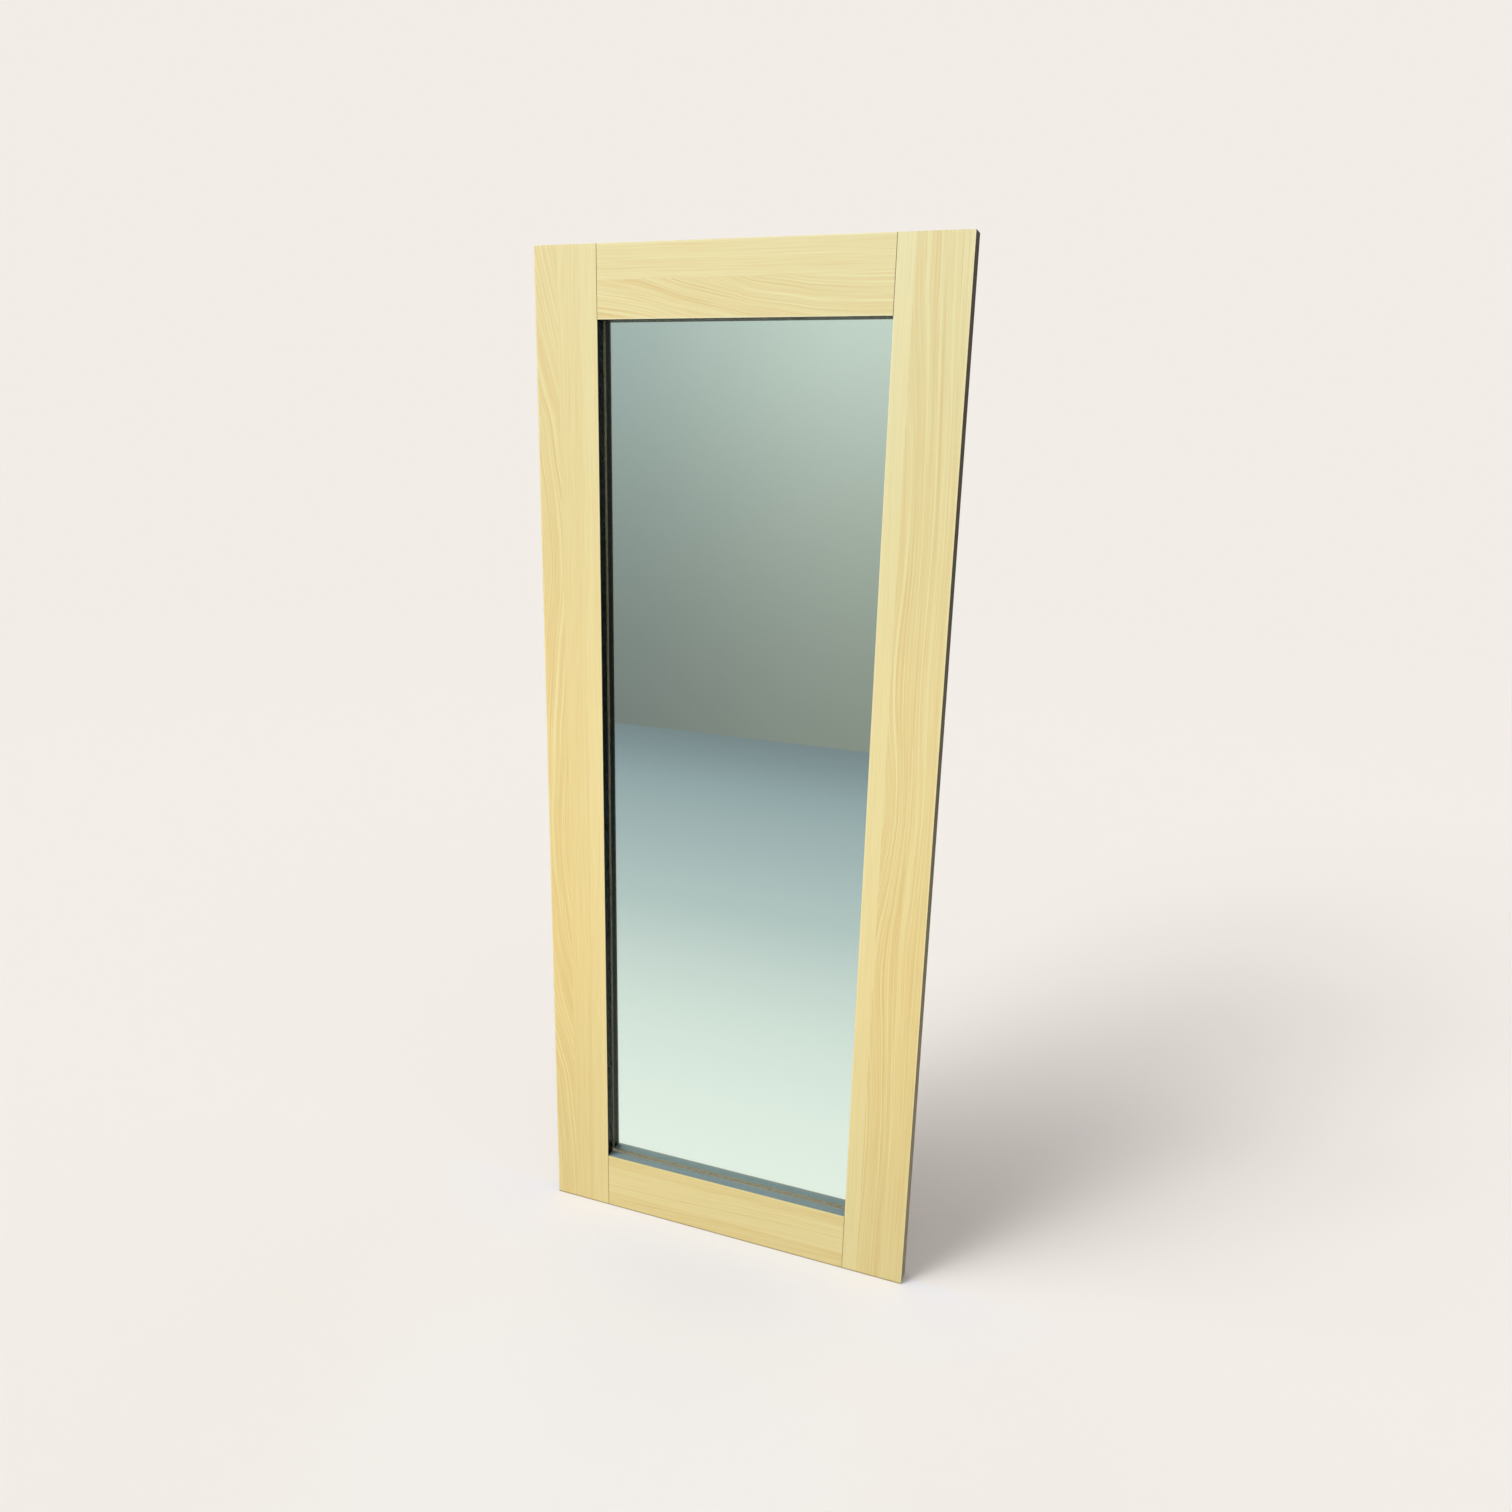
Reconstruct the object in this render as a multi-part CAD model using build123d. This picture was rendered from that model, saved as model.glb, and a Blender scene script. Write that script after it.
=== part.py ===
from build123d import *
import os

# A tall wall mirror in a frame of four laminated boards. Millimetres, +Z up, the front
# faces -Y. The origin is the middle of the lowest edge, halfway through the whole depth.

# Overall size of the frame's face
frame_width = 600
frame_height = 1500
board_width = 95

# Front boards: a wood-effect laminate glued on a board core
board_thickness = 18
laminate_thickness = 0.8
laminate_arris = 0.2
seam_gap = 0.3

# Plastic edging round the outside and round the opening
outer_band_thickness = 1
inner_band_thickness = 1
bare_edge = 1.2

# Mirror glass and what lies behind it
glass_thickness = 4
glass_overlap = 12
glass_margin = 3
silvering_thickness = 0.2
foam_thickness = 1.8
panel_thickness = 4

# Blocks that carry the glass and keep it central
block_length = 30
block_end_distance = 110

# Wooden dowels across each corner joint
dowel_diameter = 8
dowel_length = 40
dowel_spacing = 45
dowel_fit = 0.05
dowel_end_gap = 1

# Pan head screws that hold the back panel
panel_screw_diameter = 3.5
panel_screw_bite = 7
panel_screw_head_diameter = 7
panel_screw_head_height = 2.2
panel_screw_crown_radius = 1.3
panel_screws_per_side = 5
panel_screws_per_end = 4

# Screw details shared by both kinds
screw_fit = 0.05
screw_point_length = 3
screw_tip_diameter = 0.7
screw_hole_end_gap = 1
recess_width = 0.8
recess_span = 3.2
recess_depth = 1.2

# Hanging hardware: a steel strap rolled round the bar of a D-shaped ring
hanger_drop = 300
strap_thickness = 1.2
strap_side_gap = 0.75
strap_first_hole = 9.5
strap_hole_spacing = 19
strap_end_margin = 7
ring_wire_diameter = 2.5
ring_inner_width = 20
ring_corner_radius = 3
ring_side_length = 4.5
ring_fit = 0.06
ring_rest_gap = 0.3

# Countersunk screws that hold the straps
hanger_screw_diameter = 3.5
hanger_screw_bite = 10
hanger_screw_head_diameter = 6.8
hanger_screw_head_height = 1.8

# Rubber bumpers that keep the hardware off the wall
bumper_diameter = 16
bumper_height = 6
bumper_chamfer = 1
bumper_corner_distance = 22

# Layers through the depth, from the front face to the wall
batten_thickness = glass_thickness + silvering_thickness + foam_thickness
total_depth = board_thickness + batten_thickness + panel_thickness + bumper_height
front = -total_depth / 2
core_front = front + laminate_thickness
core_back = front + board_thickness
silvering_front = core_back + glass_thickness
foam_front = silvering_front + silvering_thickness
panel_front = core_back + batten_thickness
panel_back = panel_front + panel_thickness
wall_face = panel_back + bumper_height

# Lines across the face, measured from the centre line and from the floor
side = frame_width / 2
top = frame_height
core_side = side - outer_band_thickness
core_bottom = outer_band_thickness
core_top = top - outer_band_thickness
opening_side = side - board_width
opening_bottom = board_width
opening_top = top - board_width
core_opening_side = opening_side + inner_band_thickness
core_opening_bottom = opening_bottom - inner_band_thickness
core_opening_top = opening_top + inner_band_thickness
glass_side = opening_side + glass_overlap
glass_bottom = opening_bottom - glass_overlap
glass_top = opening_top + glass_overlap
rebate_side = glass_side + glass_margin
rebate_bottom = glass_bottom - glass_margin
rebate_top = glass_top + glass_margin
batten_line_x = (rebate_side + core_side) / 2
lower_batten_line = (core_bottom + rebate_bottom) / 2
upper_batten_line = (core_top + rebate_top) / 2


def block(x_span, y_span, z_span):
    """A rectangular solid between a low and a high value along each axis."""
    spans = (x_span, y_span, z_span)
    lengths = [high - low for low, high in spans]
    centre = [(high + low) / 2 for low, high in spans]
    return Pos(*centre) * Box(*lengths)


def mirrored(span):
    """A span along X on the left, as the matching span on the right."""
    low, high = span
    return (-high, -low)


def rod(radius, x, z, y_span):
    """A round bar along Y."""
    low, high = y_span
    return Pos(x, (low + high) / 2, z) * Rot(90, 0, 0) * Cylinder(radius, high - low)


def cone(x, z, y_small, small_radius, y_large, large_radius):
    """A cone along Y that widens towards the back."""
    centre = Pos(x, (y_small + y_large) / 2, z)
    return centre * Rot(-90, 0, 0) * Cone(small_radius, large_radius, y_large - y_small)


def evenly(low, high, count):
    """Places from low to high with equal steps, both ends included."""
    return [low + (high - low) * step / (count - 1) for step in range(count)]


# Screws. Each is driven from the back, so its point faces the front.


def cross_recess(x, z, y_face):
    """The cross that a driver fits, sunk from a head's outer face."""
    deep = (y_face - recess_depth, y_face + recess_depth)
    wide = (-recess_span / 2, recess_span / 2)
    thin = (-recess_width / 2, recess_width / 2)
    level = block(wide, deep, thin)
    upright = block(thin, deep, wide)
    return Pos(x, 0, z) * (level + upright)


def shank(x, z, diameter, y_tip, y_head):
    """A screw's shank with its tapered point."""
    y_taper = y_tip + screw_point_length
    point = cone(x, z, y_tip, screw_tip_diameter / 2, y_taper, diameter / 2)
    return point + rod(diameter / 2, x, z, (y_taper, y_head))


def pan_head_screw(x, z):
    """A screw through the back panel and a batten into a board core."""
    y_tip = core_back - panel_screw_bite
    y_face = panel_back + panel_screw_head_height
    head = rod(panel_screw_head_diameter / 2, x, z, (panel_back, y_face))
    crown = head.faces().sort_by(Axis.Y)[-1].edges()
    head = fillet(crown, panel_screw_crown_radius)
    screw = head + shank(x, z, panel_screw_diameter, y_tip, panel_back)
    return screw - cross_recess(x, z, y_face)


def panel_screw_hole(x, z):
    """The hole that a back panel screw runs in."""
    y_end = core_back - panel_screw_bite - screw_hole_end_gap
    radius = panel_screw_diameter / 2 + screw_fit
    return rod(radius, x, z, (y_end, panel_back))


def countersunk_screw(x, z):
    """A screw whose head lies flush in a hanger strap."""
    y_face = panel_back + strap_thickness
    y_neck = y_face - hanger_screw_head_height
    y_tip = core_back - hanger_screw_bite
    radius = hanger_screw_diameter / 2
    head = cone(x, z, y_neck, radius, y_face, hanger_screw_head_diameter / 2)
    screw = head + shank(x, z, hanger_screw_diameter, y_tip, y_neck)
    return screw - cross_recess(x, z, y_face)


def hanger_screw_hole(x, z):
    """The countersunk hole that a hanger screw runs in."""
    y_face = panel_back + strap_thickness
    y_neck = y_face - hanger_screw_head_height
    y_end = core_back - hanger_screw_bite - screw_hole_end_gap
    radius = hanger_screw_diameter / 2 + screw_fit
    sink = cone(x, z, y_neck, radius, y_face, hanger_screw_head_diameter / 2 + screw_fit)
    return sink + rod(radius, x, z, (y_end, y_face))


# Places of the screws, all on the centre lines of the battens

side_places = [
    (x, z)
    for x in (-batten_line_x, batten_line_x)
    for z in evenly(lower_batten_line, upper_batten_line, panel_screws_per_side)
]
end_places = [
    (x, z)
    for x in evenly(-batten_line_x, batten_line_x, panel_screws_per_end)[1:-1]
    for z in (lower_batten_line, upper_batten_line)
]
panel_screw_places = side_places + end_places

bar_height = frame_height - hanger_drop
first_hole_height = bar_height - strap_first_hole
hanger_screw_heights = (first_hole_height, first_hole_height - strap_hole_spacing)
hanger_sides = {"left": -batten_line_x, "right": batten_line_x}

screw_holes = [panel_screw_hole(x, z) for x, z in panel_screw_places]
screw_holes += [
    hanger_screw_hole(x, z) for x in hanger_sides.values() for z in hanger_screw_heights
]


# Corner dowels, along X across the joint between each stile and rail


def dowel_rod(radius, length, x, z):
    """A round bar along X, in the middle of the core's thickness."""
    place = Pos(x, (core_front + core_back) / 2, z)
    return place * Rot(0, 90, 0) * Cylinder(radius, length)


rail_middles = (
    (core_bottom + core_opening_bottom) / 2,
    (core_opening_top + core_top) / 2,
)
dowel_places = [
    (x, z + offset)
    for x in (-core_opening_side, core_opening_side)
    for z in rail_middles
    for offset in (-dowel_spacing / 2, dowel_spacing / 2)
]


def make_dowels():
    rods = [dowel_rod(dowel_diameter / 2, dowel_length, x, z) for x, z in dowel_places]
    return Compound(children=rods)


dowel_holes = [
    dowel_rod(dowel_diameter / 2 + dowel_fit, dowel_length + 2 * dowel_end_gap, x, z)
    for x, z in dowel_places
]


# The four front boards


def core(x_span, z_span):
    """A board core with its dowel holes and screw holes."""
    return block(x_span, (core_front, core_back), z_span) - dowel_holes - screw_holes


def laminate(x_span, z_span):
    """A face laminate, its front edges eased all round."""
    sheet = block(x_span, (front, core_front), z_span)
    return chamfer(sheet.faces().sort_by(Axis.Y)[0].edges(), laminate_arris)


def make_boards():
    left_core = (-core_side, -core_opening_side)
    between_cores = (-core_opening_side, core_opening_side)
    left_face = (-side, -opening_side)
    between_faces = (-opening_side + seam_gap, opening_side - seam_gap)
    return {
        "left_stile": core(left_core, (core_bottom, core_top)),
        "right_stile": core(mirrored(left_core), (core_bottom, core_top)),
        "bottom_rail": core(between_cores, (core_bottom, core_opening_bottom)),
        "top_rail": core(between_cores, (core_opening_top, core_top)),
        "left_stile_laminate": laminate(left_face, (0, top)),
        "right_stile_laminate": laminate(mirrored(left_face), (0, top)),
        "bottom_rail_laminate": laminate(between_faces, (0, opening_bottom)),
        "top_rail_laminate": laminate(between_faces, (opening_top, top)),
    }


# Edging


def make_outer_bands():
    depth = (core_front, panel_back)
    left = (-side, -core_side)
    between = (-core_side, core_side)
    return {
        "left_outer_band": block(left, depth, (0, top)),
        "right_outer_band": block(mirrored(left), depth, (0, top)),
        "bottom_outer_band": block(between, depth, (0, core_bottom)),
        "top_outer_band": block(between, depth, (core_top, top)),
    }


def make_inner_bands():
    depth = (core_front, core_back - bare_edge)
    left = (-core_opening_side, -opening_side)
    upright = (core_opening_bottom, core_opening_top)
    between = (-opening_side, opening_side)
    return {
        "left_inner_band": block(left, depth, upright),
        "right_inner_band": block(mirrored(left), depth, upright),
        "bottom_inner_band": block(between, depth, (core_opening_bottom, opening_bottom)),
        "top_inner_band": block(between, depth, (opening_top, core_opening_top)),
    }


# Battens behind the boards. They surround the glass, and the upper and lower ones run the
# full width, so that they lap the corner joints.


def batten(x_span, z_span):
    return block(x_span, (core_back, panel_front), z_span) - screw_holes


def make_battens():
    left = (-core_side, -rebate_side)
    across = (-core_side, core_side)
    return {
        "left_batten": batten(left, (rebate_bottom, rebate_top)),
        "right_batten": batten(mirrored(left), (rebate_bottom, rebate_top)),
        "bottom_batten": batten(across, (core_bottom, rebate_bottom)),
        "top_batten": batten(across, (rebate_top, core_top)),
    }


# The glass and its packing


def glass_layer(y_front, y_back):
    """A sheet as wide and as high as the glass."""
    return block((-glass_side, glass_side), (y_front, y_back), (glass_bottom, glass_top))


def level_block(x, z_span):
    """A block above or below the glass."""
    x_span = (x - block_length / 2, x + block_length / 2)
    return block(x_span, (core_back, silvering_front), z_span)


def upright_block(x_span, z):
    """A block beside the glass."""
    z_span = (z - block_length / 2, z + block_length / 2)
    return block(x_span, (core_back, silvering_front), z_span)


def make_glass():
    level_places = (-glass_side + block_end_distance, glass_side - block_end_distance)
    upright_places = (glass_bottom + block_end_distance, glass_top - block_end_distance)
    left_gap = (-rebate_side, -glass_side)
    carriers = [level_block(x, (rebate_bottom, glass_bottom)) for x in level_places]
    spacers = [level_block(x, (glass_top, rebate_top)) for x in level_places]
    spacers += [
        upright_block(gap, z)
        for gap in (left_gap, mirrored(left_gap))
        for z in upright_places
    ]
    return {
        "mirror_glass": glass_layer(core_back, silvering_front),
        "mirror_silvering": glass_layer(silvering_front, foam_front),
        "foam_sheet": glass_layer(foam_front, panel_front),
        "setting_blocks": Compound(children=carriers),
        "edge_spacers": Compound(children=spacers),
    }


# The back


def make_back():
    sheet = block((-core_side, core_side), (panel_front, panel_back), (core_bottom, core_top))
    screws = [pan_head_screw(x, z) for x, z in panel_screw_places]
    return {
        "back_panel": sheet - screw_holes,
        "back_panel_screws": Compound(children=screws),
    }


# Hanging hardware. Each ring hangs down over its strap, a small gap behind it.

ring_wire_radius = ring_wire_diameter / 2
ring_bore_radius = ring_wire_radius + ring_fit
knuckle_radius = ring_bore_radius + strap_thickness
bar_depth = panel_back + strap_thickness + ring_rest_gap + ring_wire_radius
bow_radius = (ring_inner_width + ring_wire_diameter) / 2
bar_half_length = bow_radius - ring_corner_radius
strap_width = 2 * (bar_half_length - strap_side_gap)
strap_length = strap_first_hole + strap_hole_spacing + strap_end_margin


def hanger_plate(x):
    """A strap with a round lower end, rolled at its top round the ring's bar."""
    y_span = (panel_back, panel_back + strap_thickness)
    round_end = bar_height - strap_length + strap_width / 2
    half_width = strap_width / 2
    strap = block((x - half_width, x + half_width), y_span, (round_end, bar_height))
    strap += rod(half_width, x, round_end, y_span)
    along_bar = Pos(x, bar_depth, bar_height) * Rot(0, 90, 0)
    knuckle = along_bar * Cylinder(knuckle_radius, strap_width)
    bore = along_bar * Cylinder(ring_bore_radius, 2 * strap_width)
    holes = [hanger_screw_hole(x, z) for z in hanger_screw_heights]
    return strap + knuckle - bore - holes


def hanging_ring(x):
    """A D-shaped wire ring: a straight bar, two tight corners, two short sides and a bow."""
    corner_z = bar_height - ring_corner_radius
    side_z = corner_z - ring_side_length
    diagonal = ring_corner_radius * 0.5**0.5

    def at(across, z):
        return (x + across, bar_depth, z)

    def corner_middle(sign):
        return at(sign * (bar_half_length + diagonal), corner_z + diagonal)

    centreline = Wire(
        [
            Line(at(0, bar_height), at(bar_half_length, bar_height)),
            ThreePointArc(
                at(bar_half_length, bar_height), corner_middle(1), at(bow_radius, corner_z)
            ),
            Line(at(bow_radius, corner_z), at(bow_radius, side_z)),
            ThreePointArc(
                at(bow_radius, side_z), at(0, side_z - bow_radius), at(-bow_radius, side_z)
            ),
            Line(at(-bow_radius, side_z), at(-bow_radius, corner_z)),
            ThreePointArc(
                at(-bow_radius, corner_z), corner_middle(-1), at(-bar_half_length, bar_height)
            ),
            Line(at(-bar_half_length, bar_height), at(0, bar_height)),
        ]
    )
    section = Plane(origin=at(0, bar_height), z_dir=(1, 0, 0)) * Circle(ring_wire_radius)
    return sweep(section, path=centreline)


def make_hangers():
    made = {}
    for name, x in hanger_sides.items():
        screws = [countersunk_screw(x, z) for z in hanger_screw_heights]
        made[name + "_hanger_plate"] = hanger_plate(x)
        made[name + "_hanging_ring"] = hanging_ring(x)
        made[name + "_hanger_screws"] = Compound(children=screws)
    return made


# Bumpers at the corners of the back


def bumper(x, z):
    """A round rubber foot whose flat end meets the wall."""
    foot = rod(bumper_diameter / 2, x, z, (panel_back, wall_face))
    return chamfer(foot.faces().sort_by(Axis.Y)[-1].edges(), bumper_chamfer)


def make_bumpers():
    x = side - bumper_corner_distance
    heights = (bumper_corner_distance, top - bumper_corner_distance)
    feet = [bumper(place, z) for place in (-x, x) for z in heights]
    return Compound(children=feet)


nodes = {
    **make_boards(),
    **make_outer_bands(),
    **make_inner_bands(),
    "corner_dowels": make_dowels(),
    **make_battens(),
    **make_glass(),
    **make_back(),
    **make_hangers(),
    "wall_bumpers": make_bumpers(),
}

os.makedirs("parts", exist_ok=True)
for name, shape in nodes.items():
    export_step(shape, f"parts/{name}.step")
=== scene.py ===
import math
import bpy
from mathutils import Euler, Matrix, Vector


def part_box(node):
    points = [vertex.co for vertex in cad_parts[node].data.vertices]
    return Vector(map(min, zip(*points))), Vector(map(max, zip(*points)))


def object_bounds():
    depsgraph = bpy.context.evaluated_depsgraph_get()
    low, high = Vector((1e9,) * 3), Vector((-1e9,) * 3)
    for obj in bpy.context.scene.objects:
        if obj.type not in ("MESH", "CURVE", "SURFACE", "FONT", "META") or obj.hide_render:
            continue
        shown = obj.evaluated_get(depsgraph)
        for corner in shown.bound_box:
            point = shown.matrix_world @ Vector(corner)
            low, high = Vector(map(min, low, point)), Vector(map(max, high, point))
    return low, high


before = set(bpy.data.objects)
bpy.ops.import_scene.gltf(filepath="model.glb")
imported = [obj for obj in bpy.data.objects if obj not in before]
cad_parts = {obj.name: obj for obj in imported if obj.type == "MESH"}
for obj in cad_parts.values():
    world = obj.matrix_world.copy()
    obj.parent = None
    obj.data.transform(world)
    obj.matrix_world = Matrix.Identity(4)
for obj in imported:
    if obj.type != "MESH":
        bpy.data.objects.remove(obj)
cad_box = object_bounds()

# Units
MM = 0.001

# Camera, as in the photograph: a little right of the mirror, looking slightly down
CAMERA_PLACE = (0.5532, -1.4551, 1.2503)
CAMERA_TURN = (74.252, -1.402, 20.047)
CAMERA_LENS = 26.492
SENSOR_WIDTH = 36

# Light. The key is a soft lamp in three parts, the lowest at the front and each higher one
# further to the left, given as azimuth and elevation in degrees. Together they light the floor
# by the key's share of full white. The sky adds its own, more from the back than the front.
KEY_DIRECTIONS = [(-34, 34), (-46, 48), (-58, 61)]
KEY_ANGLE = 22
KEY_SHARE = 0.51
SKY_FRONT = 0.43
SKY_BACK = 0.57

# The room that the mirror shows: a plain wall behind the camera and a plain floor
WALL_DISTANCE = 2.97
WALL_HALF_WIDTH = 16
WALL_HEIGHT = 6
FLOOR_HALF_SIZE = 60

# Between these distances the lit floor fades into the plain background
FLOOR_FADE_START = 3
FLOOR_FADE_END = 7


def srgb(red, green, blue):
    """A colour given as 8-bit display values, as the linear values that shaders take."""

    def linear(value):
        value /= 255
        return value / 12.92 if value <= 0.04045 else ((value + 0.055) / 1.055) ** 2.4

    return (linear(red), linear(green), linear(blue), 1)


BACKGROUND = srgb(242, 237, 231)

# The floor's colour in front of the mirror, set to even out the faint shade and the
# warm light of the boards: a little paler there, and a little bluer at their foot
FLOOR_IN_FRONT = srgb(245, 242, 240)
FLOOR_AT_FOOT = srgb(238, 238, 244)


# Node helpers


def add(tree, kind, inputs=None, **settings):
    """A new shader node. An input is a plain value or another node's socket."""
    node = tree.nodes.new("ShaderNode" + kind)
    for key, value in settings.items():
        setattr(node, key, value)
    for key, value in (inputs or {}).items():
        if isinstance(value, bpy.types.NodeSocket):
            tree.links.new(value, node.inputs[key])
        else:
            node.inputs[key].default_value = value
    return node


def calc(tree, operation, *values):
    """The result of one Math node."""
    node = add(tree, "Math", dict(enumerate(values)), operation=operation)
    return node.outputs[0]


def combine(tree, x=0, y=0, z=0):
    return add(tree, "CombineXYZ", {"X": x, "Y": y, "Z": z}).outputs[0]


def noise(tree, vector, scale, detail=2, roughness=0.5, distortion=0):
    inputs = {
        "Vector": vector,
        "Scale": scale,
        "Detail": detail,
        "Roughness": roughness,
        "Distortion": distortion,
    }
    return add(tree, "TexNoise", inputs).outputs[0]


def spread(tree, value, low, high, to_low=0, to_high=1):
    """A value mapped smoothly from one range to another, and held at its ends."""
    inputs = {
        "Value": value,
        "From Min": low,
        "From Max": high,
        "To Min": to_low,
        "To Max": to_high,
    }
    return add(tree, "MapRange", inputs, interpolation_type="SMOOTHSTEP").outputs[0]


def spread_evenly(tree, value, low, high):
    """Where a value lies between two others, from 0 to 1."""
    return add(tree, "MapRange", {"Value": value, "From Min": low, "From Max": high}).outputs[0]


def blend_colour(tree, factor, first, second, mode="MIX"):
    node = add(tree, "Mix", data_type="RGBA", blend_type=mode)
    for index, value in ((0, factor), (6, first), (7, second)):
        if isinstance(value, bpy.types.NodeSocket):
            tree.links.new(value, node.inputs[index])
        else:
            node.inputs[index].default_value = value
    return node.outputs[2]


def ramp(tree, factor, stops):
    """A smooth run of colours. Each stop is a position and a colour."""
    node = add(tree, "ValToRGB", {"Fac": factor})
    node.color_ramp.interpolation = "B_SPLINE"
    elements = node.color_ramp.elements
    while len(elements) < len(stops):
        elements.new(1)
    for element, (position, colour) in zip(elements, stops):
        element.position = position
        element.color = colour
    return node.outputs[0]


def bump(tree, height, depth, strength=1):
    """A normal from a height between 0 and 1, as deep as given in metres."""
    inputs = {"Height": height, "Distance": depth, "Strength": strength}
    return add(tree, "Bump", inputs).outputs[0]


def place(tree):
    """The X, Y and Z of the point in the object's own frame, and the three as one."""
    point = add(tree, "TexCoord").outputs["Object"]
    parts = add(tree, "SeparateXYZ", {"Vector": point}).outputs
    return parts["X"], parts["Y"], parts["Z"], point


def new_material(name):
    """An empty material with its node tree and its main shader."""
    material = bpy.data.materials.new(name)
    material.use_nodes = True
    tree = material.node_tree
    return material, tree, tree.nodes["Principled BSDF"]


def set_shader(tree, shader, **inputs):
    """Sets the main shader's inputs. Underscores in a name stand for spaces."""
    for key, value in inputs.items():
        target = shader.inputs[key.replace("_", " ")]
        if isinstance(value, bpy.types.NodeSocket):
            tree.links.new(value, target)
        else:
            target.default_value = value


def give(material, *nodes):
    """Gives CAD nodes a material."""
    for name in nodes:
        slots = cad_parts[name].material_slots
        for slot in slots:
            slot.material = material


# Laminate. Its print shows each board as a few planks side by side. In some the grain runs
# straight, and in others it waves and is cut off at the plank's edge.

PALE = srgb(245, 236, 190)
MIDDLE = srgb(238, 223, 168)
TAN = srgb(230, 204, 144)
BLUSH = srgb(236, 203, 148)
# A painted highlight for the boards' free edges
PAINTED_EDGE_HIGHLIGHT = srgb(250, 241, 200)
# The colour of the dark joints, also used for the painted shade at the boards' foot
SEAM_AND_FOOT_SHADE = srgb(120, 98, 62)

# Painted light and shade on the boards from the floor up: darker and warmer low down, as in the
# photograph
PAINTED_LIGHT_BY_HEIGHT = [
    (0, (0.84, 0.78, 0.63, 1)),
    (0.25, (0.97, 0.88, 0.67, 1)),
    (0.5, (1.06, 0.955, 0.8, 1)),
    (0.75, (0.94, 0.92, 0.8, 1)),
    (1, (0.985, 0.995, 1, 1)),
]

# Painted shade from the left to the right, which is a little duller
PAINTED_SHADE_TO_RIGHT = [(0, (1, 1, 0.98, 1)), (1, (0.93, 0.965, 0.985, 1))]

# Planks go from a board's low side to its high one: the share of its width where each starts,
# how pale it is and how strong its figure. Sway is how far the grain lines swing, as shares of
# the board's length and of the full swing. Reach is how much of that each part of the width has.
BOARDS = {
    "left_stile_laminate": {
        "axis": "Z",
        "planks": [(0, 0.4, 1), (0.375, 0.52, 0.3), (0.735, 0.68, 0.3)],
        "sway": [
            (0, 1), (0.1, 0.96), (0.17, 0.86), (0.23, 0.66), (0.3, 0.5), (0.37, 0.41), (0.44, 0.36),
            (0.5, 0.38), (0.57, 0.42), (0.65, 0.51), (0.72, 0.58), (0.8, 0.5), (0.87, 0.36), (1, 0),
        ],
        "swing": 140 * MM,
        "reach": [(0, 1), (0.37, 1), (0.375, 0), (1, 0)],
        "seed": 3.1,
    },
    "right_stile_laminate": {
        "axis": "Z",
        "planks": [(0, 0.8, 0.25), (0.245, 0.4, 1), (0.62, 0.5, 0.8)],
        "sway": [
            (0, 0.5), (0.07, 0.59), (0.16, 0.69), (0.22, 0.6), (0.3, 0.28), (0.36, 0.15),
            (0.41, 0.38), (0.49, 0.92), (0.53, 1), (0.59, 0.66), (0.65, 0.51), (0.73, 0.69),
            (0.83, 0.62), (0.93, 0.15), (1, 0),
        ],
        "swing": 38 * MM,
        "reach": [(0, 0), (0.24, 0), (0.245, 1), (0.4, 0.9), (0.65, 0.4), (1, 0.05)],
        "seed": 11.7,
    },
    "top_rail_laminate": {
        "axis": "X",
        "planks": [(0, 0.42, 0.9), (0.525, 0.55, 0.5)],
        "sway": [(0, 1), (0.25, 0.74), (0.5, 0.38), (0.7, 0.15), (0.85, 0.04), (1, 0)],
        "swing": 62 * MM,
        "reach": [(0, 0.7), (0.52, 1), (0.525, 0), (1, 0)],
        "seed": 23.4,
    },
    "bottom_rail_laminate": {
        "axis": "X",
        "planks": [(0, 0.46, 0.5), (0.28, 0.74, 0.5), (0.8, 0.54, 0.5)],
        "sway": [(0, 0), (0.4, 0.35), (0.7, 0.8), (1, 1)],
        "swing": 16 * MM,
        "reach": [(0, 1), (1, 1)],
        "seed": 37.9,
    },
}


def grey_ramp(tree, factor, stops, interpolation):
    """A value that follows stops, each a position and a value."""
    node = add(tree, "ValToRGB", {"Fac": factor})
    node.color_ramp.interpolation = interpolation
    elements = node.color_ramp.elements
    while len(elements) < len(stops):
        elements.new(1)
    for element, (position, value) in zip(elements, stops):
        element.position = position
        element.color = (value, value, value, 1)
    return add(tree, "RGBToBW", {"Color": node.outputs[0]}).outputs[0]


def outside(tree, value, low, high):
    """1 where a value lies outside a range, otherwise 0."""
    under = calc(tree, "LESS_THAN", value, low)
    over = calc(tree, "GREATER_THAN", value, high)
    return calc(tree, "MAXIMUM", under, over)


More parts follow.
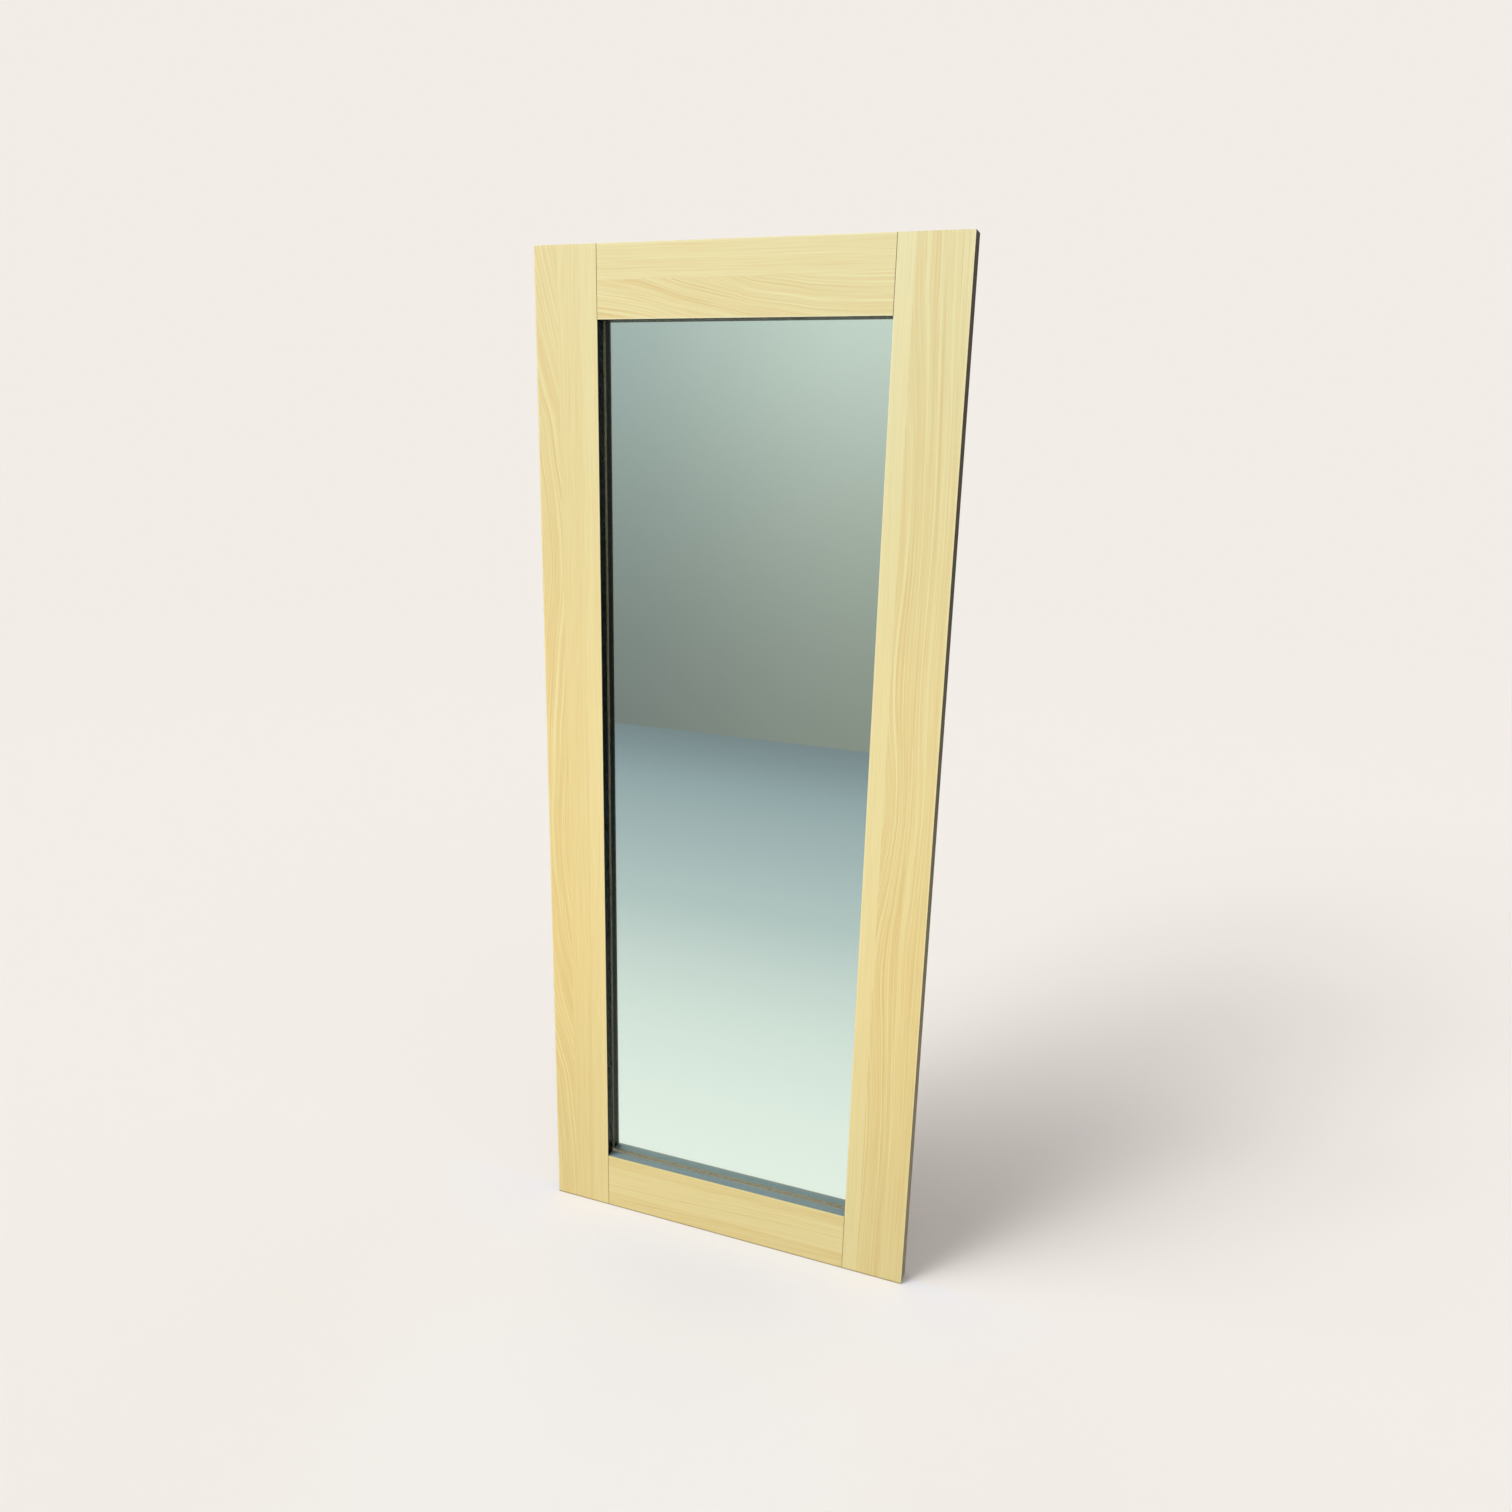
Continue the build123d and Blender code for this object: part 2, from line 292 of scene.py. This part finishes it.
def laminate_material(node, axis, planks, sway, swing, reach, seed):
    material, tree, shader = new_material(node)
    x, _, z, _ = place(tree)
    low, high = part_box(node)
    upright = axis == "Z"
    along, across = (z, x) if upright else (x, z)
    along_low, along_high = (low.z, high.z) if upright else (low.x, high.x)
    across_low, across_high = (low.x, high.x) if upright else (low.z, high.z)
    length_share = spread_evenly(tree, along, along_low, along_high)
    width_share = spread_evenly(tree, across, across_low, across_high)
    paleness = grey_ramp(tree, width_share, [(start, pale) for start, pale, _ in planks], "CONSTANT")
    figure = grey_ramp(tree, width_share, [(start, share) for start, _, share in planks], "CONSTANT")

    # Grain lines
    shift = calc(tree, "MULTIPLY", grey_ramp(tree, length_share, sway, "CARDINAL"), swing)
    shift = calc(tree, "MULTIPLY", shift, grey_ramp(tree, width_share, reach, "LINEAR"))
    wander_place = combine(
        tree, calc(tree, "MULTIPLY", along, 4), calc(tree, "MULTIPLY", across, 14), seed
    )
    wander = calc(tree, "SUBTRACT", noise(tree, wander_place, 1, 3), 0.5)
    line = calc(tree, "SUBTRACT", across, shift)
    line = calc(tree, "MULTIPLY_ADD", wander, 6 * MM, line)
    depth = calc(tree, "MULTIPLY_ADD", paleness, 40, seed)

    def grain(cycles_along, cycles_across, detail, offset=0):
        """Noise drawn out along the grain lines, from -0.5 to 0.5, with its own run per plank."""
        spot = combine(
            tree,
            calc(tree, "MULTIPLY", along, cycles_along),
            calc(tree, "MULTIPLY_ADD", line, cycles_across, offset),
            depth,
        )
        return calc(tree, "SUBTRACT", noise(tree, spot, 1, detail, 0.6), 0.5)

    bands = grain(0.9, 90, 2)
    pale_lines = spread(tree, grain(1.6, 440, 2, 7), 0.02, 0.15)
    dark_lines = spread(tree, grain(2, 330, 2, 19), 0.03, 0.19)
    fibres = grain(12, 750, 3)
    drawn = calc(tree, "MULTIPLY", bands, 0.45)
    drawn = calc(tree, "MULTIPLY_ADD", pale_lines, 0.5, drawn)
    drawn = calc(tree, "MULTIPLY_ADD", dark_lines, -0.45, drawn)
    tone = calc(tree, "MULTIPLY_ADD", drawn, figure, paleness)
    tone = calc(tree, "MULTIPLY_ADD", fibres, 1.05, tone)
    colour = ramp(tree, tone, [(0, TAN), (0.5, MIDDLE), (1, PALE)])
    glow = calc(tree, "MULTIPLY", spread(tree, grain(3, 45, 2, 31), 0.06, 0.3, 0, 0.4), figure)
    colour = blend_colour(tree, glow, colour, BLUSH)

    # Painted highlights along the free edges, painted shade under the boards, and dark lines where one
    # meets another
    from_low = calc(tree, "SUBTRACT", across, across_low)
    from_high = calc(tree, "SUBTRACT", across_high, across)
    if upright:
        inner, outer = (from_high, from_low) if low.x < 0 else (from_low, from_high)
        opening = (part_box("bottom_rail_laminate")[1].z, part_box("top_rail_laminate")[0].z)
        beside_rail = outside(tree, z, *opening)
        free_edge = calc(tree, "MINIMUM", calc(tree, "ADD", inner, beside_rail), outer)
        to_seam = calc(tree, "SUBTRACT", calc(tree, "ADD", inner, 1), beside_rail)
    else:
        free_edge = calc(tree, "MINIMUM", from_low, from_high)
        from_left = calc(tree, "SUBTRACT", x, low.x)
        from_right = calc(tree, "SUBTRACT", high.x, x)
        to_seam = calc(tree, "MINIMUM", from_left, from_right)
    # Painted highlight: the free edges of the boards paler
    edge_highlight = spread(tree, free_edge, 1 * MM, 2.8 * MM, 0.5, 0)
    colour = blend_colour(tree, edge_highlight, colour, PAINTED_EDGE_HIGHLIGHT)
    # Painted light and shade: the boards darker and warmer low down
    height = spread_evenly(tree, z, cad_box[0].z, cad_box[1].z)
    colour = blend_colour(tree, 1, colour, ramp(tree, height, PAINTED_LIGHT_BY_HEIGHT), "MULTIPLY")
    # Painted shade: the boards a little duller towards the right
    rightward = spread_evenly(tree, x, cad_box[0].x, cad_box[1].x)
    colour = blend_colour(tree, 1, colour, ramp(tree, rightward, PAINTED_SHADE_TO_RIGHT), "MULTIPLY")
    at_seam = spread(tree, to_seam, 0.1 * MM, 0.4 * MM, 0.9, 0)
    # Painted shade at the foot of the boards, in the same dark colour as the joints
    under = spread(tree, z, 0.8 * MM, 3 * MM, 0.75, 0)
    colour = blend_colour(tree, calc(tree, "MAXIMUM", at_seam, under), colour, SEAM_AND_FOOT_SHADE)

    roughness = spread(tree, fibres, -0.2, 0.2, 0.52, 0.42)
    normal = bump(tree, fibres, 0.04 * MM, 0.4)
    set_shader(tree, shader, Base_Color=colour, Roughness=roughness, Normal=normal)
    return material


# Board, battens, dowels and the hardboard back

# Strength of the glow on the lower board's bare edge behind the glass
GLOW_BEHIND_GLASS = 0.22


def board_core_material():
    """Chipboard: pressed flakes with darker and paler ones.

    The back of the bottom board's bare edge, which lies against the glass, glows faintly. That
    stands for light that comes in through the glass.
    """
    material, tree, shader = new_material("board_core")
    _, _, z, point = place(tree)
    flakes = add(tree, "TexVoronoi", {"Vector": point, "Scale": 420}).outputs["Color"]
    light = add(tree, "SeparateColor", {"Color": flakes}).outputs[0]
    colour = ramp(
        tree, light, [(0, srgb(220, 202, 166)), (0.5, srgb(243, 230, 198)), (1, srgb(250, 242, 216))]
    )
    normal = bump(tree, light, 0.15 * MM, 0.6)
    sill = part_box("bottom_inner_band")[0].z
    near_edge = spread(tree, z, sill - 10 * MM, sill - 8 * MM)
    on_sill = calc(tree, "MULTIPLY", near_edge, spread(tree, z, sill, sill + 2 * MM, 1, 0))
    direction = add(tree, "NewGeometry").outputs["Normal"]
    to_back = add(tree, "SeparateXYZ", {"Vector": direction}).outputs["Y"]
    lit = calc(tree, "MULTIPLY", on_sill, spread(tree, to_back, 0.5, 0.9))
    glow = calc(tree, "MULTIPLY", lit, GLOW_BEHIND_GLASS)
    set_shader(
        tree,
        shader,
        Base_Color=colour,
        Roughness=0.85,
        Normal=normal,
        Emission_Color=colour,
        Emission_Strength=glow,
    )
    return material


def solid_wood_material(name, axis, dark, pale):
    """Plain sawn softwood or beech, with its grain along one axis."""
    material, tree, shader = new_material(name)
    x, y, z, _ = place(tree)
    along, across = (z, x) if axis == "Z" else (x, z)
    grain_place = combine(
        tree, calc(tree, "MULTIPLY", along, 4), calc(tree, "MULTIPLY", across, 160), y
    )
    grain = noise(tree, grain_place, 1, 4, 0.6)
    colour = ramp(tree, grain, [(0.32, dark), (0.62, pale)])
    normal = bump(tree, grain, 0.1 * MM, 0.5)
    set_shader(tree, shader, Base_Color=colour, Roughness=0.7, Normal=normal)
    return material


def hardboard_material():
    """Brown hardboard: fine felted fibres with soft mottling."""
    material, tree, shader = new_material("hardboard")
    *_, point = place(tree)
    mottle = noise(tree, point, 9, 5, 0.6)
    fibre = noise(tree, point, 520, 3, 0.65, 1.2)
    tone = calc(tree, "MULTIPLY_ADD", fibre, 0.8, calc(tree, "MULTIPLY", mottle, 0.2))
    colour = ramp(
        tree, tone, [(0.35, srgb(116, 84, 56)), (0.5, srgb(142, 107, 74)), (0.65, srgb(166, 131, 96))]
    )
    normal = bump(tree, fibre, 0.12 * MM, 0.7)
    roughness = spread(tree, mottle, 0.3, 0.7, 0.62, 0.78)
    set_shader(tree, shader, Base_Color=colour, Roughness=roughness, Normal=normal)
    return material


# Edging

CUT_EDGING = srgb(250, 240, 205)


def outer_band_material():
    """Dark brown satin edging, paler and greyer towards the floor."""
    material, tree, shader = new_material("outer_edging")
    _, _, z, point = place(tree)
    grain = noise(tree, point, 600, 3, 0.6)
    scuffs = noise(tree, point, 40, 4, 0.7)
    colour = ramp(tree, scuffs, [(0.4, srgb(50, 36, 18)), (0.65, srgb(64, 49, 28))])
    # Paler and greyer towards the floor
    paling = spread(tree, z, 0.1, 1.2, 0.75, 0)
    colour = blend_colour(tree, paling, colour, srgb(150, 136, 108))
    roughness = spread(tree, scuffs, 0.35, 0.7, 0.5, 0.62)
    normal = bump(tree, grain, 0.02 * MM, 0.5)
    set_shader(
        tree, shader, Base_Color=colour, Roughness=roughness, Specular_IOR_Level=0.06, Normal=normal
    )
    return material


def inner_band_material():
    """Black satin edging, tan where it is cut beside the glass, with a grey-blue painted reflection on
    its upward side.
    """
    material, tree, shader = new_material("inner_edging")
    x, y, _, point = place(tree)
    specks = noise(tree, point, 300, 4, 0.7)
    black = ramp(tree, specks, [(0.5, srgb(6, 6, 5)), (0.8, srgb(12, 12, 10))])
    # Painted reflection: a grey-blue painted sheen on the upward side, in streaks along the edging,
    # paler and warmer near the glass
    streak_place = combine(
        tree, calc(tree, "MULTIPLY", x, 5), calc(tree, "MULTIPLY", y, 700), 0
    )
    streaks = noise(tree, streak_place, 1, 3, 0.6)
    painted_sheen = ramp(tree, streaks, [(0.3, srgb(122, 141, 142)), (0.7, srgb(152, 171, 171))])
    by_the_glass = spread(tree, y, -1.7 * MM, -0.5 * MM)
    painted_sheen = blend_colour(tree, by_the_glass, painted_sheen, srgb(182, 180, 152))
    normal = add(tree, "NewGeometry").outputs["Normal"]
    facing = add(tree, "SeparateXYZ", {"Vector": normal}).outputs
    colour = blend_colour(tree, spread(tree, facing["Z"], 0.5, 0.9), black, painted_sheen)
    cut = spread(tree, facing["Y"], 0.5, 0.9)
    colour = blend_colour(tree, cut, colour, CUT_EDGING)
    roughness = spread(tree, specks, 0.35, 0.75, 0.22, 0.32)
    set_shader(
        tree, shader, Base_Color=colour, Roughness=roughness, Specular_IOR_Level=0.05
    )
    return material


# Glass, silvering and packing


def glass_material():
    """Clear float glass."""
    material, tree, shader = new_material("clear_glass")
    set_shader(
        tree,
        shader,
        Base_Color=(0.985, 1.0, 0.99, 1),
        Roughness=0,
        IOR=1.52,
        Transmission_Weight=1,
    )
    return material


def silvering_material():
    """The bright metal layer on the back of the glass."""
    material, tree, shader = new_material("silvering")
    set_shader(tree, shader, Base_Color=(0.93, 0.94, 0.93, 1), Roughness=0, Metallic=1)
    return material


def foam_material():
    """White packing foam, in closed cells."""
    material, tree, shader = new_material("foam")
    *_, point = place(tree)
    cells = add(tree, "TexVoronoi", {"Vector": point, "Scale": 700}).outputs["Distance"]
    colour = ramp(tree, cells, [(0.1, srgb(238, 238, 234)), (0.8, srgb(214, 214, 208))])
    normal = bump(tree, cells, 0.2 * MM, 0.6)
    set_shader(tree, shader, Base_Color=colour, Roughness=0.8, Normal=normal)
    return material


def rubber_material(name, dark, pale):
    """Matt moulded rubber with a little dust on it."""
    material, tree, shader = new_material(name)
    *_, point = place(tree)
    skin = noise(tree, point, 900, 3, 0.6)
    paling = noise(tree, point, 120, 4, 0.7)
    colour = ramp(tree, paling, [(0.4, dark), (0.7, pale)])
    normal = bump(tree, skin, 0.05 * MM, 0.5)
    roughness = spread(tree, paling, 0.3, 0.7, 0.6, 0.8)
    set_shader(tree, shader, Base_Color=colour, Roughness=roughness, Normal=normal)
    return material


# Metal


def metal_material(name, dull, bright, smooth, rough, scale):
    """Plated steel with a fine, uneven sheen."""
    material, tree, shader = new_material(name)
    *_, point = place(tree)
    clouds = noise(tree, point, scale, 4, 0.6)
    fine = noise(tree, point, scale * 9, 3, 0.6)
    colour = ramp(tree, clouds, [(0.35, dull), (0.65, bright)])
    roughness = spread(tree, clouds, 0.3, 0.7, smooth, rough)
    normal = bump(tree, fine, 0.02 * MM, 0.35)
    set_shader(
        tree, shader, Base_Color=colour, Metallic=1, Roughness=roughness, Normal=normal
    )
    return material


def dress_object():
    for node, grain in BOARDS.items():
        give(laminate_material(node, **grain), node)
    give(board_core_material(), "left_stile", "right_stile", "top_rail", "bottom_rail")
    pine = (srgb(196, 160, 110), srgb(226, 199, 152))
    give(solid_wood_material("batten_wood_upright", "Z", *pine), "left_batten", "right_batten")
    give(solid_wood_material("batten_wood_level", "X", *pine), "top_batten", "bottom_batten")
    beech = (srgb(198, 158, 118), srgb(220, 186, 146))
    give(solid_wood_material("dowel_wood", "X", *beech), "corner_dowels")
    give(hardboard_material(), "back_panel")
    sides = ("left", "right", "top", "bottom")
    give(outer_band_material(), *[side + "_outer_band" for side in sides])
    give(inner_band_material(), *[side + "_inner_band" for side in sides])
    give(glass_material(), "mirror_glass")
    give(silvering_material(), "mirror_silvering")
    give(foam_material(), "foam_sheet")
    blocks = rubber_material("block_rubber", srgb(28, 28, 28), srgb(52, 52, 50))
    give(blocks, "setting_blocks", "edge_spacers")
    bumpers = rubber_material("bumper_rubber", srgb(34, 33, 32), srgb(62, 60, 57))
    give(bumpers, "wall_bumpers")
    zinc = metal_material("zinc_screw", srgb(158, 156, 148), srgb(196, 196, 190), 0.26, 0.42, 300)
    give(zinc, "back_panel_screws", "left_hanger_screws", "right_hanger_screws")
    plate = metal_material("plated_steel", srgb(164, 164, 160), srgb(200, 200, 196), 0.24, 0.38, 160)
    give(plate, "left_hanger_plate", "right_hanger_plate")
    wire = metal_material("ring_wire", srgb(176, 176, 172), srgb(212, 212, 208), 0.16, 0.28, 200)
    give(wire, "left_hanging_ring", "right_hanging_ring")


WELD_DISTANCE = 0.001 * MM


def soften(node, width):
    """Rounds the sharp edges of a boxy CAD node by a fraction of a millimetre."""
    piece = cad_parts[node]
    piece.modifiers.new("weld", "WELD").merge_threshold = WELD_DISTANCE
    rounding = piece.modifiers.new("rounding", "BEVEL")
    rounding.width = width
    rounding.segments = 2
    rounding.limit_method = "ANGLE"
    rounding.harden_normals = True


def shrink(node, distance):
    """Draws a node's faces in, so that they don't lie in its neighbours' faces."""
    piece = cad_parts[node]
    piece.modifiers.new("weld", "WELD").merge_threshold = WELD_DISTANCE
    inset = piece.modifiers.new("inset", "DISPLACE")
    inset.strength = -distance
    inset.mid_level = 0


# Stage


def quad(name, corners):
    mesh = bpy.data.meshes.new(name)
    mesh.from_pydata(corners, [], [(0, 1, 2, 3)])
    piece = bpy.data.objects.new(name, mesh)
    bpy.context.scene.collection.objects.link(piece)
    return piece


def only_in_gloss(piece):
    """Shows a stage piece in the mirror and in gloss only, and keeps its light off the rest."""
    piece.visible_camera = False
    piece.visible_diffuse = False
    piece.visible_shadow = False
    piece.visible_volume_scatter = False


def seen_in_gloss(tree):
    """1 for what a glossy or glassy surface shows, otherwise 0."""
    path = add(tree, "LightPath").outputs
    return calc(tree, "MAXIMUM", path["Is Glossy Ray"], path["Is Transmission Ray"])


def make_floor():
    size = FLOOR_HALF_SIZE
    floor = quad("floor", [(-size, -size, 0), (size, -size, 0), (size, size, 0), (-size, size, 0)])
    material, tree, shader = new_material("floor")
    tree.nodes.remove(shader)
    x, y, _, point = place(tree)
    nearness = spread_evenly(tree, y, -WALL_DISTANCE, 0)
    reflected = ramp(
        tree,
        nearness,
        [
            (0.0, srgb(120, 134, 137)),
            (0.25, srgb(152, 172, 176)),
            (0.6, srgb(184, 202, 200)),
            (0.8, srgb(222, 235, 226)),
            (1.0, srgb(243, 252, 241)),
        ],
    )
    distance = add(tree, "VectorMath", {0: point}, operation="LENGTH").outputs["Value"]
    front = blend_colour(tree, spread(tree, y, -1.1, -0.3), BACKGROUND, FLOOR_IN_FRONT)
    front = blend_colour(tree, spread(tree, y, -0.25, -0.02), front, FLOOR_AT_FOOT)
    beside = spread(tree, calc(tree, "ABSOLUTE", x), 0.1, 0.6, 1, 0)
    in_front = calc(tree, "MULTIPLY", beside, calc(tree, "LESS_THAN", y, 0))
    matt = blend_colour(tree, in_front, BACKGROUND, front)
    lit = add(tree, "BsdfDiffuse", {"Color": matt}).outputs[0]
    plain = add(tree, "Emission", {"Color": BACKGROUND}).outputs[0]
    far = spread(tree, distance, FLOOR_FADE_START, FLOOR_FADE_END)
    lit = add(tree, "MixShader", {0: far, 1: lit, 2: plain}).outputs[0]
    glow = add(tree, "Emission", {"Color": reflected}).outputs[0]
    top = add(tree, "MixShader", {0: seen_in_gloss(tree), 1: lit, 2: glow}).outputs[0]
    below = add(tree, "NewGeometry").outputs["Backfacing"]
    clear = add(tree, "BsdfTransparent").outputs[0]
    surface = add(tree, "MixShader", {0: below, 1: top, 2: clear}).outputs[0]
    tree.links.new(surface, tree.nodes["Material Output"].inputs["Surface"])
    floor.data.materials.append(material)


def make_wall():
    """The plain wall that the mirror shows, paler towards its top and to one side."""
    side, y = WALL_HALF_WIDTH, -WALL_DISTANCE
    wall = quad(
        "reflected_wall", [(-side, y, 0), (side, y, 0), (side, y, WALL_HEIGHT), (-side, y, WALL_HEIGHT)]
    )
    material, tree, shader = new_material("reflected_wall")
    tree.nodes.remove(shader)
    x, _, z, _ = place(tree)
    height = calc(tree, "DIVIDE", z, 2)
    left = ramp(
        tree, height, [(0, srgb(118, 126, 122)), (0.5, srgb(142, 156, 152)), (1, srgb(178, 196, 192))]
    )
    right = ramp(
        tree, height, [(0, srgb(133, 142, 132)), (0.5, srgb(168, 178, 168)), (1, srgb(220, 236, 226))]
    )
    across = spread(tree, x, -1.9, -0.5)
    colour = blend_colour(tree, across, left, right)
    glow = add(tree, "Emission", {"Color": colour}).outputs[0]
    tree.links.new(glow, tree.nodes["Material Output"].inputs["Surface"])
    wall.data.materials.append(material)
    only_in_gloss(wall)


def make_key():
    for number, angles in enumerate(KEY_DIRECTIONS):
        azimuth, elevation = [math.radians(angle) for angle in angles]
        level = math.cos(elevation)
        towards = Vector(
            (math.sin(azimuth) * level, -math.cos(azimuth) * level, math.sin(elevation))
        )
        lamp = bpy.data.lights.new(f"key_{number}", "SUN")
        lamp.energy = math.pi * KEY_SHARE / len(KEY_DIRECTIONS) / math.sin(elevation)
        lamp.angle = math.radians(KEY_ANGLE)
        key = bpy.data.objects.new(lamp.name, lamp)
        bpy.context.scene.collection.objects.link(key)
        key.rotation_euler = towards.to_track_quat("Z", "Y").to_euler()
        key.visible_glossy = False
        key.visible_transmission = False


def make_sky():
    """A pale surround: what is seen of it is plain, and more of its light comes from the back."""
    world = bpy.data.worlds.new("studio")
    world.use_nodes = True
    bpy.context.scene.world = world
    tree = world.node_tree
    tree.nodes.clear()
    direction = add(tree, "TexCoord").outputs["Generated"]
    back = add(tree, "SeparateXYZ", {"Vector": direction}).outputs["Y"]
    strength = spread(tree, back, -1, 1, SKY_FRONT, SKY_BACK)
    light = add(tree, "Background", {"Color": (1, 1, 1, 1), "Strength": strength}).outputs[0]
    shown = add(tree, "Background", {"Color": BACKGROUND, "Strength": 1}).outputs[0]
    to_camera = add(tree, "LightPath").outputs["Is Camera Ray"]
    seen = calc(tree, "MAXIMUM", to_camera, seen_in_gloss(tree))
    mixed = add(tree, "MixShader", {0: seen, 1: light, 2: shown}).outputs[0]
    output = add(tree, "OutputWorld", {"Surface": mixed})
    output.is_active_output = True


def make_camera():
    data = bpy.data.cameras.new("camera")
    data.lens = CAMERA_LENS
    data.sensor_width = SENSOR_WIDTH
    data.clip_end = 200
    camera = bpy.data.objects.new("camera", data)
    bpy.context.scene.collection.objects.link(camera)
    camera.location = CAMERA_PLACE
    camera.rotation_euler = Euler([math.radians(angle) for angle in CAMERA_TURN])
    bpy.context.scene.camera = camera


make_camera()
make_sky()
make_key()
make_floor()
make_wall()
dress_object()
for side in ("left", "right", "top", "bottom"):
    soften(side + "_outer_band", 0.15 * MM)
shrink("mirror_glass", 0.03 * MM)

bpy.context.scene.view_settings.view_transform = "Standard"
